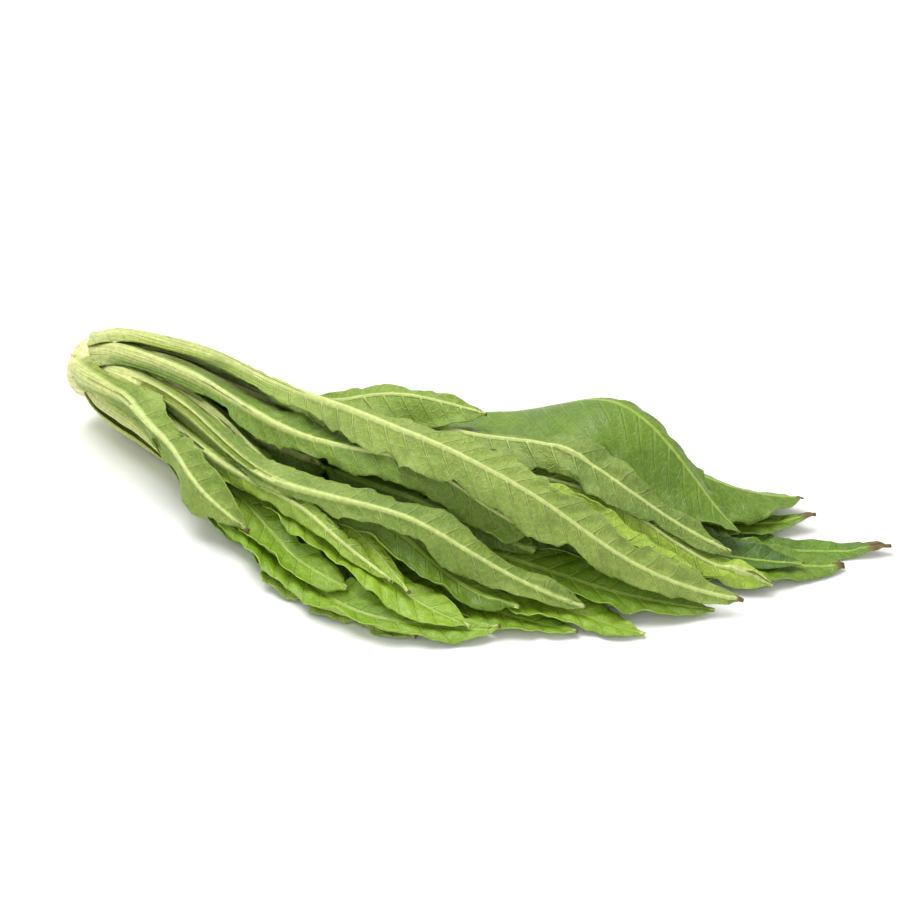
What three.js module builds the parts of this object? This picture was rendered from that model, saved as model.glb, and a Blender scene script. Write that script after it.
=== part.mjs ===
// A head of leaf lettuce with long pointed leaves, cut whole and laid on its side on a table.
// Millimetres. +X runs from the cut butt to the leaf tips, +Y across to the far side, +Z up.
// A short stem carries every leaf. The leaves are laid from the table upwards, each one on those
// below it: first the under leaves, then the stem, then the over leaves.
import * as THREE from "three";

// Stem: a short tapering cone lying on its side, with its cut face at x = 0.
const STEM_RADIUS = 14.5;
const STEM_TAPER = 0.19; // radius lost for each millimetre along the stem
const STEM_LENGTH = 42;
const STEM_SIDES = 20;
const CUT_DISH = 0.8; // how far the middle of the cut face has sunk
const CUT_BEVEL = 0.6;

// Leaf bases: each sits against the stem, then rises to a shell of its own round the stem's axis.
const FIRST_AZIMUTH = 20; // of the outermost leaf, in degrees
const GOLDEN_ANGLE = 137.5; // from each leaf to the next one round the stem
const FIRST_BASE_AT = 1.5; // where the outermost leaf leaves the stem
const BASE_SPACING = 1.5; // each leaf further in leaves the stem this much further on
const BASE_STAND_OFF = 2; // from the stem's skin to the middle of a leaf base
const SHELLS_AT = 45; // distance from the cut face where the shells are measured
const SHELL_INNER = 10.5; // the innermost leaf's shell
const SHELL_STEP = 0.57; // from one shell to the next one out
const OPENING = 0.006; // share by which the shells widen for each millimetre further on
const CLASP = 0.51; // half angle that a leaf base wraps round the stem, in radians
const SIDE_CLASP = 0.55; // share of that for a leaf at the side of the stem
const CLASP_LENGTH = 28; // over which the clasping base narrows to the stalk
const STALK_HALF_WIDTH = 6.4;
const TABLE_GAP = 0.2; // under the lowest leaf base where the shells are measured

// Leaf blades. A share is a share of the leaf's reach from its base to its tip, along X.
const SECTIONS = 22;
const ACROSS = [-1, -0.5, 0, 0.5, 1]; // places across a leaf, from its near edge to its far edge
const BLADE_THICKNESS = 0.9;
const RIB_AT_BASE = 2.6;
const RIB_AT_TIP = 1.3;
const RIB_THINS_TO = 0.8; // share where the rib has its thickness at the tip
const TIP_HALF_WIDTH = 1.6;
const BLADE_FROM = 0.2; // share where the stalk begins to widen into the blade
const WIDEST_AT = 0.64; // share where the blade is widest
const POINTING = 2.6; // higher is blunter towards the tip
const STEEPEST = 1.36; // steepest slope across a leaf, in radians
const ROUNDEST = 28; // radius of the most curved blade across its width, and of the flattest
const FLATTEST = 48;
const ROLL_FROM = 0.3; // shares between which a blade rolls to one side
const ROLL_TO = 0.75;
const SWAY = 2.2; // how far a leaf's path wanders from side to side, and how often
const SWAY_TURNS = 1.43;
const WAVE = 3; // how far it rises and dips along its length, and how often
const WAVE_TURNS = 0.8;
const WAVE_FROM = 0.3;
const DROOP_FROM = 0.72; // share where the tip begins to droop
const TIP_DROOP = 0.4; // part of the heap's height that is left under a tip
const RISE_FROM = 0.6; // share where a raised tip begins to rise
const HUMP_AT = 0.78;
const HUMP_LENGTH = 0.11;
const WAIST_DEPTH = 0.62; // part of the width lost where a blade is twisted
const WAIST_LENGTH = 11; // in millimetres
const RUFFLE_HEIGHT = 2.8;
const RUFFLES_PER_LEAF = 4.3;
const RUFFLE_FROM = 0.3;
const TOOTH_DEPTH = 0.1; // part of the blade's half width
const TOOTH_FROM = 0.3;

// The heap: its ridge line and half width give the height that the top leaves lie at.
const HEAP = [
  // x, height, middle y, half width
  [0, 50, 0, 30],
  [60, 50, 0, 36],
  [110, 54, -2, 50],
  [160, 58, 2, 62],
  [210, 57, 10, 74],
  [260, 48, 30, 78],
  [310, 30, 58, 72],
  [350, 14, 80, 60],
  [400, 5, 95, 45],
];
const HEAP_FROM = 45; // the bundle of stalks opens into the heap between these two places
const HEAP_TO = 150;
const TILT_FROM = 35; // and the leaves turn from facing the stem to lying on the heap between these
const TILT_TO = 105;
const SHELLS_TO = 85; // the shells widen no further than this
const OVER_LEVELS = [1, 0.25]; // share of the heap's height, for the outermost and innermost
const UNDER_LEVELS = [0, 0.22];

// Room kept between one leaf and those below it.
const BUTT_ROOM = 0.2;
const FAN_ROOM = 0.8;
const CELL = 0.8; // of the height map that remembers what already lies on the table
const HELD_TO = 36; // nothing is lifted nearer to the cut face than this
const LIFT_REACH = 55; // a leaf that is held up somewhere bends over this distance each way
const LIFT_LOST = 0.3; // part of a lift that is lost across half the leaf
const LIFT_TURNS = 12; // a leaf is lifted again at most this often
const CLEAR = 0.02; // and no more once it is this near to clear
const CORNER_SHARE = 0.12; // a corner with less weight than this isn't lifted for a place

// Every leaf from the outermost to the innermost, in the order that they grew, a golden angle
// apart round the stem. Tip is where the leaf ends, from above, and heading its direction there in
// degrees. Half is half of the blade's width. Bow moves the middle of the leaf across, roll tilts
// the blade in degrees, hump raises it before the tip, rise lifts the tip itself, and waist is
// where the blade is twisted narrow.
const LEAVES = [
  { name: "leaf_crest", tip: [334, 48], heading: 32, half: 13, bow: -3, roll: 12 },
  { name: "leaf_under_far_long", tip: [366, 124], heading: 36, half: 12 },
  { name: "leaf_near_short", tip: [140, -45], heading: -2, half: 12, bow: -4, rise: 4 },
  { name: "leaf_far_folded", tip: [200, 50], heading: 26, half: 12, bow: -5, roll: 56, rise: 37 },
  { name: "leaf_under_near_outer", tip: [286, -6], heading: 20, half: 15 },
  { name: "leaf_near_broad", tip: [250, 10], heading: 12, half: 10, bow: -4, roll: 14 },
  { name: "leaf_under_far_outer", tip: [330, 121], heading: 44, half: 13 },
  { name: "leaf_near_bent", tip: [233, -47], heading: 8, half: 12, waist: 134 },
  { name: "leaf_far_ribbed", tip: [318, 66], heading: 24, half: 12, bow: 7, roll: 4 },
  { name: "leaf_under_middle", tip: [309, 10], heading: 18, half: 16 },
  { name: "leaf_near_ribbed", tip: [284, 3], heading: 22, half: 9, bow: -8, roll: 16 },
  { name: "leaf_under_far_edge", tip: [306, 108], heading: 30, half: 15 },
  { name: "leaf_under_near", tip: [260, -25], heading: 40, half: 11, bow: -1 },
  { name: "leaf_upright", tip: [316, 44], heading: 22, half: 10, roll: 10 },
  { name: "leaf_under_far", tip: [355, 101], heading: 40, half: 14 },
  { name: "leaf_near_narrow", tip: [214, -38], heading: -6, half: 8, bow: -3, roll: 20 },
  { name: "leaf_far_arched", tip: [314, 80], heading: -4, half: 23, bow: 14, roll: 46, hump: 20 },
  { name: "leaf_under_tip", tip: [325, 40], heading: 30, half: 16 },
  { name: "leaf_near_inner", tip: [262, -14], heading: 14, half: 10, bow: -2, roll: -12 },
  { name: "leaf_under_far_inner", tip: [296, 92], heading: 24, half: 15, hump: 14 },
  { name: "leaf_under_near_inner", tip: [196, -47], heading: -4, half: 11 },
  { name: "leaf_far_upright", tip: [338, 67], heading: 24, half: 13, bow: 5, roll: 20, hump: 8 },
  { name: "leaf_under_pale", tip: [342, 88], heading: 30, half: 14 },
  { name: "leaf_small_near", tip: [222, -37], heading: -22, half: 6, roll: 20 },
  { name: "leaf_far_inner", tip: [319, 130], heading: 46, half: 19, roll: 24, hump: 13 },
  { name: "leaf_under_inner", tip: [250, -33], heading: 10, half: 12 },
  { name: "leaf_heart", tip: [252, 12], heading: 16, half: 10, roll: -10 },
  { name: "leaf_under_small", tip: [278, 30], heading: 14, half: 12 },
];

const OUTER_SHELL = SHELL_INNER + SHELL_STEP * (LEAVES.length - 1);
const STEM_AXIS_Z = OUTER_SHELL + RIB_AT_BASE / 2 + TABLE_GAP;

const COLOURS = { stem: 0xe6e3bd, over: 0xa9c46c, under: 0x7fae45 };

const TURN = 2 * Math.PI;
const radians = (degrees) => (degrees * TURN) / 360;
const mix = (a, b, share) => a + (b - a) * share;

// 0 before a, 1 after b, and a smooth step between them.
function step(a, b, x) {
  const share = Math.min(1, Math.max(0, (x - a) / (b - a)));
  return share * share * (3 - 2 * share);
}

// A number between 0 and 1 that is always the same for a leaf and what it is drawn for.
const DRAWS = { wave: 1, curve: 2, nearRuffle: 3, farRuffle: 4, sway: 5 };
function draw(leaf, what) {
  const scattered = Math.sin((leaf.place + 1) * 127.1 + DRAWS[what] * 311.7) * 43758.5453;
  return scattered - Math.floor(scattered);
}

// The azimuth of a leaf round the stem in degrees: 0 is up, 90 the far side, -90 the near side.
function azimuthOf(place) {
  const turned = FIRST_AZIMUTH + GOLDEN_ANGLE * place + 180;
  return turned - 360 * Math.floor(turned / 360) - 180;
}

// The heap's height, middle and half width at a distance from the cut face.
function heapAt(x) {
  let row = 0;
  while (row < HEAP.length - 2 && x > HEAP[row + 1][0]) row++;
  const [a, b] = [HEAP[row], HEAP[row + 1]];
  const share = Math.min(1, Math.max(0, (x - a[0]) / (b[0] - a[0])));
  return [1, 2, 3].map((column) => mix(a[column], b[column], share));
}

function heapHeight(x, y) {
  const [height, middle, half] = heapAt(x);
  const out = Math.min(1, Math.abs(y - middle) / half);
  return height * (1 - out * out);
}

function isOver(place) {
  return Math.abs(azimuthOf(place)) < 90;
}

// What each leaf is, from its line in the list.
function describe(line, place) {
  const { name, tip, half, bow = 0, roll = 0, hump = 0, rise = 0, waist = 0 } = line;
  const over = isOver(place);
  const baseX = FIRST_BASE_AT + BASE_SPACING * place;
  const kind = LEAVES.filter((_, other) => isOver(other) === over);
  const rank = kind.indexOf(line) / (kind.length - 1); // 0 outermost, 1 innermost
  const levels = over ? OVER_LEVELS : UNDER_LEVELS;
  return {
    name,
    place,
    over,
    azimuth: radians(azimuthOf(place)),
    tipX: tip[0],
    tipY: tip[1],
    heading: radians(line.heading),
    half,
    bow,
    roll: radians(roll),
    hump,
    rise,
    waist,
    baseX,
    baseRadius: STEM_RADIUS - STEM_TAPER * baseX + BASE_STAND_OFF,
    shell: SHELL_INNER + SHELL_STEP * (LEAVES.length - 1 - place),
    level: mix(levels[0], levels[1], rank),
  };
}

// The leaf's distance from the stem's axis: out from the stem to its shell, then slowly wider.
function shellRadius(leaf, x) {
  const share = Math.min(1, (x - leaf.baseX) / (SHELLS_AT - leaf.baseX));
  const eased = (share * (3 - share)) / 2;
  const near = mix(leaf.baseRadius, leaf.shell, eased);
  return near + leaf.shell * OPENING * Math.max(0, x - SHELLS_AT);
}

// The leaf's path seen from above: straight out of the butt, then a curve to the tip.
function pathY(leaf, x) {
  const side = Math.sin(leaf.azimuth);
  if (x <= SHELLS_AT) return shellRadius(leaf, x) * side;
  const run = leaf.tipX - SHELLS_AT;
  const t = (x - SHELLS_AT) / run;
  const out = leaf.shell * OPENING * side;
  const [t2, t3] = [t * t, t * t * t];
  const middle = (4 * t * (1 - t)) ** 2;
  const sway = SWAY * Math.sin(TURN * (SWAY_TURNS * t + draw(leaf, "sway")));
  return (
    (2 * t3 - 3 * t2 + 1) * leaf.shell * side +
    (t3 - 2 * t2 + t) * run * out +
    (3 * t2 - 2 * t3) * leaf.tipY +
    (t3 - t2) * run * Math.tan(leaf.heading) +
    (leaf.bow + sway) * middle
  );
}

function pathHeading(leaf, x) {
  const near = 0.5;
  return Math.atan2(pathY(leaf, x + near) - pathY(leaf, x - near), 2 * near);
}

// Half of the leaf's width: the clasping base, a narrow stalk, the blade and the pointed tip.
function halfWidthAt(leaf, t, x) {
  const side = mix(1, SIDE_CLASP, Math.sin(leaf.azimuth) ** 6);
  const clasp = shellRadius(leaf, Math.min(x, SHELLS_AT)) * CLASP * side;
  const stalk = Math.min(STALK_HALF_WIDTH, clasp, leaf.half);
  const base = mix(clasp, stalk, step(leaf.baseX + 2, leaf.baseX + CLASP_LENGTH, x));
  const blade = mix(base, leaf.half, step(BLADE_FROM, WIDEST_AT, t));
  const past = Math.max(0, (t - WIDEST_AT) / (1 - WIDEST_AT));
  const nip = leaf.waist ? WAIST_DEPTH * Math.exp(-(((x - leaf.waist) / WAIST_LENGTH) ** 2)) : 0;
  return mix(TIP_HALF_WIDTH, blade, 1 - past ** POINTING) * (1 - nip);
}

// The height of the middle of the leaf, before it is laid on the leaves below.
function restHeight(leaf, t, x, y) {
  const bundle = STEM_AXIS_Z + shellRadius(leaf, Math.min(x, SHELLS_TO)) * Math.cos(leaf.azimuth);
  const level = leaf.level * mix(1, TIP_DROOP, step(DROOP_FROM, 1, t));
  const turns = WAVE_TURNS * t + draw(leaf, "wave");
  const wave = WAVE * Math.sin(TURN * turns) * step(WAVE_FROM, 2 * WAVE_FROM, t);
  const hump = leaf.hump * Math.exp(-(((t - HUMP_AT) / HUMP_LENGTH) ** 2));
  const rise = leaf.rise * step(RISE_FROM, 1, t);
  const heap = heapHeight(x, y) * level + wave + hump + rise;
  return mix(bundle, heap, step(HEAP_FROM, HEAP_TO, x));
}

// The tilt of the leaf across its width: round the stem at the base, with the heap further on.
function tiltAt(leaf, t, x, y, heading) {
  const across = 4;
  const [dx, dy] = [-Math.sin(heading) * across, Math.cos(heading) * across];
  const rise = heapHeight(x + dx, y + dy) - heapHeight(x - dx, y - dy);
  const roll = leaf.roll * step(ROLL_FROM, ROLL_TO, t);
  const onHeap = Math.atan((rise * leaf.level) / (2 * across)) + roll;
  const fromBelow = (Math.PI - Math.abs(leaf.azimuth)) * Math.sign(leaf.azimuth);
  const roundStem = leaf.over ? -leaf.azimuth : fromBelow;
  return mix(roundStem, onHeap, step(TILT_FROM, TILT_TO, x));
}

// How the leaf curves across its width: the over leaves arch, the under leaves cup.
function curveAt(leaf, x) {
  const round = 1 / shellRadius(leaf, Math.min(x, SHELLS_AT));
  const open = 1 / mix(ROUNDEST, FLATTEST, draw(leaf, "curve"));
  const size = mix(round, open, step(TILT_FROM, TILT_TO, x));
  return leaf.over ? size : -size * mix(1, 0.5, step(TILT_FROM, TILT_TO, x));
}

// The waves of a leaf's margin, which die away towards its middle, base and tip.
function ruffle(leaf, t, across) {
  const phase = draw(leaf, across < 0 ? "nearRuffle" : "farRuffle");
  const wave = Math.sin(TURN * (RUFFLES_PER_LEAF * t + phase));
  const fade = step(RUFFLE_FROM, RUFFLE_FROM + 0.25, t) * step(1, 0.85, t);
  return RUFFLE_HEIGHT * wave * across * across * fade;
}

// The slope across the leaf at a place, kept short of upright.
function slopeAt(tilt, curve, along) {
  return Math.max(-STEEPEST, Math.min(STEEPEST, tilt - curve * along));
}

// How far out and up the leaf goes from its midrib to a place across it.
function reachAcross(tilt, curve, along) {
  const parts = 4;
  let [out, up] = [0, 0];
  for (let n = 0; n < parts; n++) {
    const slope = slopeAt(tilt, curve, (along * (n + 0.5)) / parts);
    out += (Math.cos(slope) * along) / parts;
    up += (Math.sin(slope) * along) / parts;
  }
  return [out, up];
}

// One leaf as rows of places: its middle surface, and how thick it is there, straight up.
function layOut(leaf) {
  const rows = [];
  for (let i = 0; i <= SECTIONS; i++) {
    const t = i / SECTIONS;
    const x = mix(leaf.baseX, leaf.tipX, t);
    const y = pathY(leaf, x);
    const heading = pathHeading(leaf, x);
    const z = restHeight(leaf, t, x, y);
    const tilt = tiltAt(leaf, t, x, y, heading);
    const curve = curveAt(leaf, x);
    const rib = mix(RIB_AT_BASE, RIB_AT_TIP, step(0, RIB_THINS_TO, t));
    const tooth = i % 2 ? 1 + TOOTH_DEPTH : 1 - TOOTH_DEPTH;
    const half = halfWidthAt(leaf, t, x) * mix(1, tooth, step(TOOTH_FROM, 1.5 * TOOTH_FROM, t));
    rows.push(
      ACROSS.map((across) => {
        const [out, up] = reachAcross(tilt, curve, across * half);
        const body = mix(rib, BLADE_THICKNESS, Math.sqrt(Math.abs(across)));
        return {
          x: x - Math.sin(heading) * out,
          y: y + Math.cos(heading) * out,
          z: z + up + ruffle(leaf, t, across),
          thick: body / Math.cos(slopeAt(tilt, curve, across * half)),
        };
      }),
    );
  }
  return rows;
}

// What already lies on the table, as a height for each small square of it.
class HeightMap {
  constructor() {
    const [length, width] = [440, 340];
    [this.x0, this.y0] = [-10, -150];
    this.columns = Math.ceil(length / CELL);
    this.top = new Float64Array(this.columns * Math.ceil(width / CELL));
  }

  // Calls visit for each square whose middle lies in a triangle, grown by half a square, with the
  // triangle's height there and the weights of its corners b and c.
  overTriangle(a, b, c, visit) {
    const area = (b.x - a.x) * (c.y - a.y) - (b.y - a.y) * (c.x - a.x);
    if (Math.abs(area) < 1e-6) return;
    const column = (x) => Math.round((x - this.x0) / CELL);
    const row = (y) => Math.round((y - this.y0) / CELL);
    const slack = CELL / 2 / Math.sqrt(Math.abs(area));
    for (let i = column(Math.min(a.x, b.x, c.x)) - 1; i <= column(Math.max(a.x, b.x, c.x)) + 1; i++)
      for (let j = row(Math.min(a.y, b.y, c.y)) - 1; j <= row(Math.max(a.y, b.y, c.y)) + 1; j++) {
        const [x, y] = [this.x0 + i * CELL, this.y0 + j * CELL];
        const wb = ((x - a.x) * (c.y - a.y) - (y - a.y) * (c.x - a.x)) / area;
        const wc = ((b.x - a.x) * (y - a.y) - (b.y - a.y) * (x - a.x)) / area;
        if (wb < -slack || wc < -slack || wb + wc > 1 + slack) continue;
        const inside = [wb, wc].map((w) => Math.min(1, Math.max(0, w)));
        const sum = Math.max(1, inside[0] + inside[1]);
        const [pb, pc] = [inside[0] / sum, inside[1] / sum];
        visit(j * this.columns + i, a.z + (b.z - a.z) * pb + (c.z - a.z) * pc, pb, pc);
      }
  }
}

// The triangles of a leaf's surface, as row and column numbers, split alike on both faces.
function triangles() {
  const found = [];
  for (let i = 0; i < SECTIONS; i++)
    for (let j = 0; j < ACROSS.length - 1; j++) {
      const [a, b] = [[i, j], [i + 1, j]];
      const [c, d] = [[i + 1, j + 1], [i, j + 1]];
      found.push(...((i + j) % 2 ? [[a, b, c], [a, c, d]] : [[a, b, d], [b, c, d]]));
    }
  return found;
}
const SURFACE = triangles();

function face(rows, corners, side) {
  return corners.map(([i, j]) => {
    const place = rows[i][j];
    return { x: place.x, y: place.y, z: place.z + (side * place.thick) / 2 };
  });
}

// Lifts a leaf until it clears what lies below it, and bends the stretch on each side of a lift.
function settle(leaf, rows, map) {
  for (const row of rows) for (const place of row) place.z = Math.max(place.z, place.thick / 2);
  for (let turn = 0; turn < LIFT_TURNS; turn++) {
    const wanted = rows.map((row) => row.map(() => 0));
    let most = 0;
    for (const corners of SURFACE) {
      const [a, b, c] = face(rows, corners, -1);
      map.overTriangle(a, b, c, (cell, height, pb, pc) => {
        if (!map.top[cell]) return;
        const x = map.x0 + (cell % map.columns) * CELL;
        const room = mix(BUTT_ROOM, FAN_ROOM, step(SHELLS_AT, SHELLS_TO, x));
        const short = map.top[cell] + room - height;
        if (short <= 0 || x < HELD_TO) return;
        const weights = [1 - pb - pc, pb, pc];
        corners.forEach(([i, j], n) => {
          if (weights[n] > CORNER_SHARE) wanted[i][j] = Math.max(wanted[i][j], short);
        });
        most = Math.max(most, short);
      });
    }
    if (most < CLEAR) return;
    spreadLift(leaf, rows, wanted);
  }
}

// Spreads the lifts that a leaf needs along and across it, but none of them into the butt.
function spreadLift(leaf, rows, wanted) {
  const pitch = (leaf.tipX - leaf.baseX) / SECTIONS;
  const reach = Math.ceil(LIFT_REACH / pitch);
  const lift = rows.map((row) => row.map(() => 0));
  wanted.forEach((row, i) =>
    row.forEach((short, j) => {
      if (!short) return;
      const back = Math.min(reach, Math.max(1, (leaf.baseX + i * pitch - HELD_TO) / pitch));
      for (let k = Math.max(0, Math.ceil(i - back)); k <= Math.min(SECTIONS, i + reach); k++) {
        const away = Math.abs(k - i) / (k < i ? back : reach);
        const along = Math.cos((Math.min(1, away) * Math.PI) / 2) ** 2;
        for (let n = 0; n < ACROSS.length; n++) {
          const across = 1 - LIFT_LOST * Math.abs(ACROSS[n] - ACROSS[j]);
          lift[k][n] = Math.max(lift[k][n], short * along * across);
        }
      }
    }),
  );
  rows.forEach((row, i) => row.forEach((place, j) => (place.z += lift[i][j])));
}

// Adds a leaf's upper face to what lies on the table.
function remember(rows, map) {
  for (const corners of SURFACE) {
    const [a, b, c] = face(rows, corners, 1);
    map.overTriangle(a, b, c, (cell, height) => {
      map.top[cell] = Math.max(map.top[cell], height);
    });
  }
}

// A leaf's rows of places as one closed body.
function leafGeometry(rows) {
  const width = ACROSS.length;
  const count = rows.length * width;
  const position = [];
  for (const side of [1, -1])
    for (const row of rows)
      for (const place of row)
        position.push(place.x, place.y, place.z + (side * place.thick) / 2);
  const at = ([i, j], side) => i * width + j + (side < 0 ? count : 0);
  const index = [];
  for (const [a, b, c] of SURFACE) {
    index.push(at(a, 1), at(b, 1), at(c, 1));
    index.push(at(a, -1), at(c, -1), at(b, -1));
  }
  const wall = (a, b) => {
    index.push(at(a, -1), at(b, -1), at(b, 1), at(a, -1), at(b, 1), at(a, 1));
  };
  const last = width - 1;
  for (let i = 0; i < SECTIONS; i++) {
    wall([i, 0], [i + 1, 0]);
    wall([i + 1, last], [i, last]);
  }
  for (let j = 0; j < last; j++) {
    wall([0, j + 1], [0, j]);
    wall([SECTIONS, j], [SECTIONS, j + 1]);
  }
  const geometry = new THREE.BufferGeometry();
  geometry.setAttribute("position", new THREE.Float32BufferAttribute(position, 3));
  geometry.setIndex(index);
  geometry.computeVertexNormals();
  return geometry;
}

function leafMaterial(over) {
  return new THREE.MeshStandardMaterial({
    color: over ? COLOURS.over : COLOURS.under,
    roughness: 0.55,
    metalness: 0,
    side: THREE.DoubleSide,
  });
}

// The stem: a turned cone with a slightly hollow cut face and a rounded growing point.
function makeStem() {
  const end = STEM_RADIUS - STEM_TAPER * STEM_LENGTH;
  const profile = [
    [0, CUT_DISH],
    [STEM_RADIUS - 5 * CUT_BEVEL, CUT_DISH / 3],
    [STEM_RADIUS - CUT_BEVEL, 0],
    [STEM_RADIUS, CUT_BEVEL],
    [end, STEM_LENGTH - 4],
    [end * 0.6, STEM_LENGTH - 1],
    [0, STEM_LENGTH],
  ];
  const turned = new THREE.LatheGeometry(
    profile.map(([radius, along]) => new THREE.Vector2(radius, along)),
    STEM_SIDES,
  );
  const material = new THREE.MeshStandardMaterial({ color: COLOURS.stem, roughness: 0.6 });
  const stem = new THREE.Mesh(turned, material);
  stem.name = "stem";
  stem.rotation.z = -Math.PI / 2;
  stem.position.z = STEM_AXIS_Z;
  return stem;
}

function makeHead() {
  const head = new THREE.Group();
  const map = new HeightMap();
  const leaves = LEAVES.map(describe);
  const under = leaves.filter((leaf) => !leaf.over);
  const over = leaves.filter((leaf) => leaf.over).reverse();
  for (const leaf of [...under, ...over]) {
    const rows = layOut(leaf);
    settle(leaf, rows, map);
    remember(rows, map);
    const mesh = new THREE.Mesh(leafGeometry(rows), leafMaterial(leaf.over));
    mesh.name = leaf.name;
    head.add(mesh);
  }
  head.add(makeStem());
  return head;
}

// The head's box is centred on the origin, and its lowest points are at z = 0.
function centred(head) {
  const box = new THREE.Box3().setFromObject(head);
  const middle = box.getCenter(new THREE.Vector3());
  head.position.set(-middle.x, -middle.y, -box.min.z);
  return head;
}

export default centred(makeHead());
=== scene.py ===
"""A head of leaf lettuce with long pointed leaves, cut whole and laid on its side on a pale table."""
import math
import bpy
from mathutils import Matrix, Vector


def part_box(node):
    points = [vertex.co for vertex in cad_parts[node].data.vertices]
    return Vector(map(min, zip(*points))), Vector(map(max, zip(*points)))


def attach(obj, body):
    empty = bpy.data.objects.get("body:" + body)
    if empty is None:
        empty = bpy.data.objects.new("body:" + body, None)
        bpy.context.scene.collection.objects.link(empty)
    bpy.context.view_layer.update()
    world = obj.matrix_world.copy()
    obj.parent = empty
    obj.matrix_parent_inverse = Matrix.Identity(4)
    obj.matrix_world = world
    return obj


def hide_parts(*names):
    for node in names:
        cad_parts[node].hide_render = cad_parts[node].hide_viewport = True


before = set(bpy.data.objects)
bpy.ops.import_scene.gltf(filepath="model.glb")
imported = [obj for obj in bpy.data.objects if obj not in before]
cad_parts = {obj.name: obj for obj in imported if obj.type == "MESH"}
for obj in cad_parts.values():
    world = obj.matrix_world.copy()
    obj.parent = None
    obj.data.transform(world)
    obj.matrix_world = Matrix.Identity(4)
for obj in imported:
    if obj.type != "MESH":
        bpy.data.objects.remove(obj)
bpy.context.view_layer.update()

from types import SimpleNamespace

import bmesh
import bpy
import numpy as np
from mathutils import Matrix, Vector

# The camera looks down on the head from the near right, with a long lens.
# The middle of the cut butt is placed at one pixel of the 900 pixel wide picture.
CAMERA_AZIMUTH = math.radians(36.0)
CAMERA_ELEVATION = math.radians(34.0)
LENS = 80.0
SENSOR = 36.0
CAMERA_DISTANCE = 0.965
PICTURE = 900
BUTT_PIXEL = (88.0, 370.0)
BUTT_HEIGHT = 0.024

stem_low, stem_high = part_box("stem")
BUTT = Vector((stem_low.x, (stem_low.y + stem_high.y) / 2, BUTT_HEIGHT))
back = Vector(
    (
        math.sin(CAMERA_AZIMUTH) * math.cos(CAMERA_ELEVATION),
        -math.cos(CAMERA_AZIMUTH) * math.cos(CAMERA_ELEVATION),
        math.sin(CAMERA_ELEVATION),
    )
)
right = Vector((math.cos(CAMERA_AZIMUTH), math.sin(CAMERA_AZIMUTH), 0))
up = back.cross(right)
half_view = SENSOR / 2 / LENS
towards_butt = (
    -back
    + right * ((BUTT_PIXEL[0] / (PICTURE / 2) - 1) * half_view)
    - up * ((BUTT_PIXEL[1] / (PICTURE / 2) - 1) * half_view)
)
camera = bpy.data.objects.new("camera", bpy.data.cameras.new("camera"))
camera.data.lens = LENS
camera.data.sensor_width = SENSOR
camera.data.clip_start = 0.05
camera.matrix_world = (
    Matrix.Translation(BUTT - towards_butt * CAMERA_DISTANCE)
    @ Matrix((right, up, back)).transposed().to_4x4()
)
bpy.context.scene.collection.objects.link(camera)
bpy.context.scene.camera = camera

# The stem: the short solid core that carries every leaf, cut straight across with a knife.
# Its flesh is cream round a greener pith, with a browned ring where the sap has dried.
STEM_STEPS = 72
CUT_ROUGHNESS = 0.0002  # how far the cut face is off flat
OFF_ROUND = 0.012  # how far the skin is off round, as a share of the radius
PITH_EDGE = (0.0045, 0.0065)  # radii between which one part gives way to the next
RING_INSIDE = (0.0105, 0.0120)
RING_OUTSIDE = (0.0130, 0.0150)
RING_WANDER = 0.003
SKIN_STREAKS = (60.0, 520.0, 520.0)  # how fine the skin's streaks are along and across it


def wander(places, seed):
    """A smooth wandering number between -1 and 1 along a line, always the same for a seed."""
    places = np.asarray(places, float)
    whole = np.floor(places)
    share = places - whole
    eased = share * share * share * (share * (share * 6 - 15) + 10)

    def level(n):
        scattered = np.sin(n * 127.1 + seed * 311.7) * 43758.5453
        return 2 * (scattered - np.floor(scattered)) - 1

    return level(whole) * (1 - eased) + level(whole + 1) * eased


def step(low, high, x):
    """0 below low, 1 above high, and a smooth step between them."""
    share = np.clip((np.asarray(x, float) - low) / (high - low), 0, 1)
    return share * share * (3 - 2 * share)


def from_screen(red, green, blue):
    """A colour as it is seen on a screen, 0 to 255, as the light that a shader works with."""
    light = []
    for part in (red, green, blue):
        part /= 255
        light.append(part / 12.92 if part <= 0.04045 else ((part + 0.055) / 1.055) ** 2.4)
    return (*light, 1.0)


def place_node(tree, kind, inputs=None, **settings):
    """A new node in a material or group, with its settings, plain values and incoming links."""
    made = tree.nodes.new(kind)
    for name, value in settings.items():
        setattr(made, name, value)
    for name, value in (inputs or {}).items():
        if isinstance(value, bpy.types.NodeSocket):
            tree.links.new(value, made.inputs[name])
        else:
            made.inputs[name].default_value = value
    return made


def sum_of(tree, operation, *values):
    """The result of one sum on sockets and numbers."""
    inputs = dict(enumerate(values))
    return place_node(tree, "ShaderNodeMath", inputs, operation=operation).outputs[0]


def ramp(tree, value, low, high, to_low=0.0, to_high=1.0):
    """A socket's value moved smoothly from one range to another, and held at its ends."""
    inputs = {0: value, 1: low, 2: high, 3: to_low, 4: to_high}
    kind = "ShaderNodeMapRange"
    return place_node(tree, kind, inputs, interpolation_type="SMOOTHSTEP").outputs[0]


def blend_colours(tree, share, first, second, way="MIX"):
    """Two colours laid over each other by a share that is a number or a socket."""
    made = place_node(tree, "ShaderNodeMix", data_type="RGBA", blend_type=way)
    for place, value in ((0, share), (6, first), (7, second)):
        if isinstance(value, bpy.types.NodeSocket):
            tree.links.new(value, made.inputs[place])
        else:
            made.inputs[place].default_value = value
    return made.outputs[2]


def noise(tree, coordinates, scale, detail=3.0, roughness=0.55):
    """A soft mottle between 0 and 1."""
    inputs = {"Vector": coordinates, "Scale": scale, "Detail": detail, "Roughness": roughness}
    return place_node(tree, "ShaderNodeTexNoise", inputs).outputs[0]


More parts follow.
